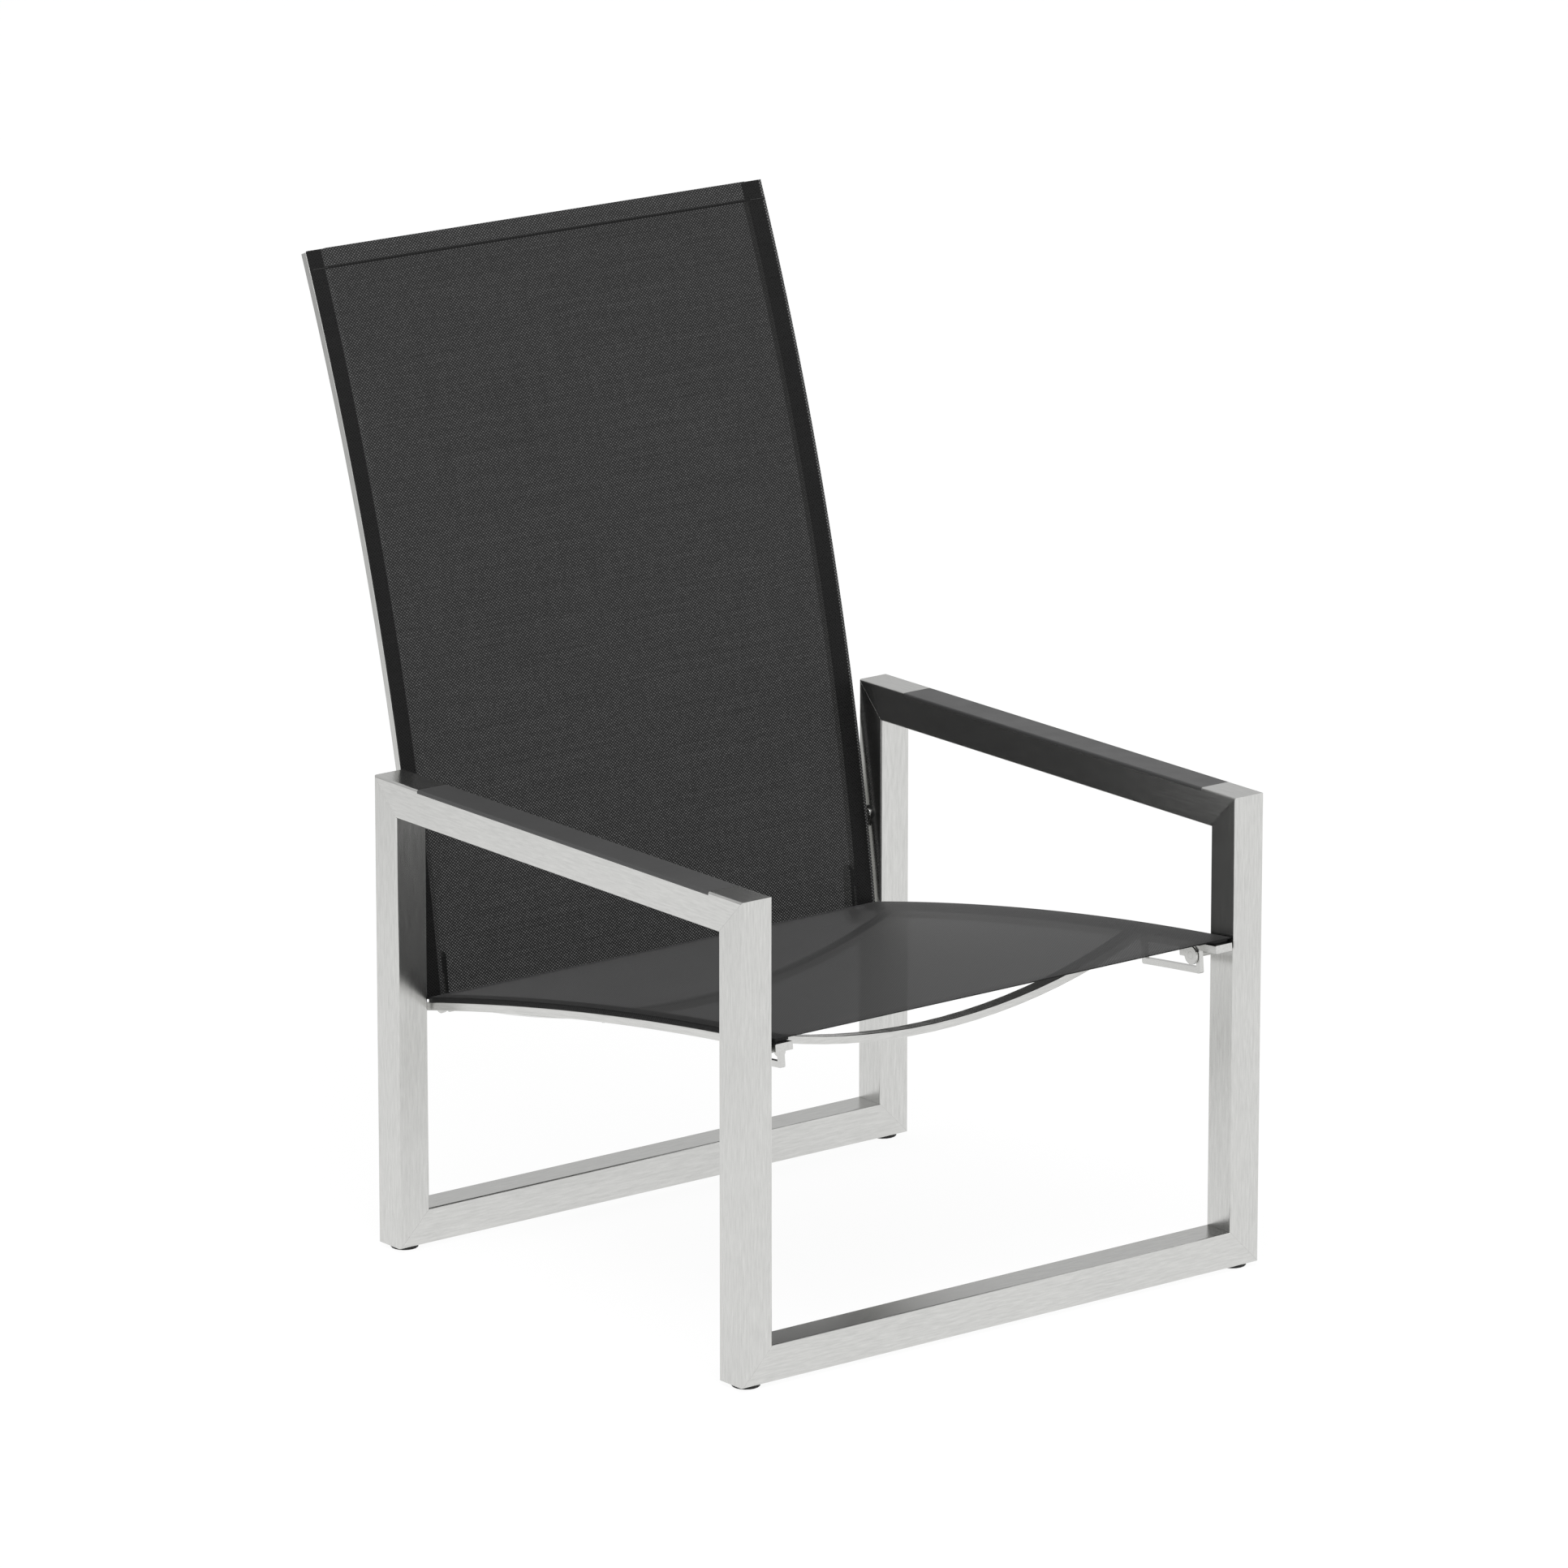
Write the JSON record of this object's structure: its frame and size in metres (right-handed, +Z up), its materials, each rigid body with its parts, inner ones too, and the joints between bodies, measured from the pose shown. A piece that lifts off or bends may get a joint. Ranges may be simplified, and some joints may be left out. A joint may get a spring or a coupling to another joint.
{
  "type": "reclining sling patio chair",
  "caption": "High-backed patio armchair of square steel tube with taut mesh back and seat slings; the back reclines on leg pivots while the seat slides forward.",
  "frame": {"origin": "on the floor, under the middle of the whole chair's box", "axes": "+X to the viewer's right from in front, the front faces -Y, +Z up"},
  "size_m": [0.71, 0.8364, 1.0772],
  "materials": {
    "steel": "stainless steel with a fine brushed grain along each bar",
    "sling_mesh": "taut woven vinyl-coated mesh, dark grey with fine light flecks",
    "arm_pad": "satin dark grey moulded plastic",
    "black_plastic": "matt black moulded plastic",
    "nylon": "white nylon"
  },
  "bodies": {
    "frame": {"left_front_leg": "steel", "left_rear_leg": "steel", "right_front_leg": "steel", "right_rear_leg": "steel", "front_floor_bar": "steel", "rear_floor_bar": "steel", "left_arm_rail": "steel", "right_arm_rail": "steel", "left_arm_pad": "arm_pad", "right_arm_pad": "arm_pad", "left_front_glide": "black_plastic", "left_rear_glide": "black_plastic", "right_front_glide": "black_plastic", "right_rear_glide": "black_plastic", "left_pivot_bush": "nylon", "right_pivot_bush": "nylon", "left_slide_pin": "steel", "right_slide_pin": "steel", "left_slide_retainer": "steel", "right_slide_retainer": "steel"},
    "back": {"left_back_rail": "steel", "right_back_rail": "steel", "top_bar": "steel", "back_sling": "sling_mesh", "left_back_batten": "black_plastic", "right_back_batten": "black_plastic", "left_back_screw_1": "steel", "left_back_screw_2": "steel", "left_back_screw_3": "steel", "right_back_screw_1": "steel", "right_back_screw_2": "steel", "right_back_screw_3": "steel", "left_pivot_lug": "steel", "right_pivot_lug": "steel", "left_pivot_pin": "steel", "right_pivot_pin": "steel", "left_hinge_plate": "steel", "right_hinge_plate": "steel", "left_hinge_pin": "steel", "right_hinge_pin": "steel"},
    "seat": {"left_seat_rail": "steel", "right_seat_rail": "steel", "front_stretcher": "steel", "rear_stretcher": "steel", "seat_sling": "sling_mesh", "left_seat_batten": "black_plastic", "right_seat_batten": "black_plastic", "left_seat_screw_1": "steel", "left_seat_screw_2": "steel", "left_seat_screw_3": "steel", "right_seat_screw_1": "steel", "right_seat_screw_2": "steel", "right_seat_screw_3": "steel", "left_slide_strap": "steel", "right_slide_strap": "steel", "left_seat_lug": "steel", "right_seat_lug": "steel"}
  },
  "joints": [
    {"name": "back_recline", "type": "hinge", "parent": "frame", "child": "back", "pos_m": [0, 0.21159, 0.3833], "axis": [-1, 0, 0], "range_deg": [0, 28]},
    {"name": "seat_glide", "type": "hinge", "parent": "frame", "child": "seat", "pos_m": [0, -0.66881, -2.4905], "axis": [1, 0, 0], "range_deg": [0, 1.1]}
  ],
  "couplings": [
    {"joint": "seat_glide", "follows": "back_recline", "ratio": 0.03878}
  ]
}
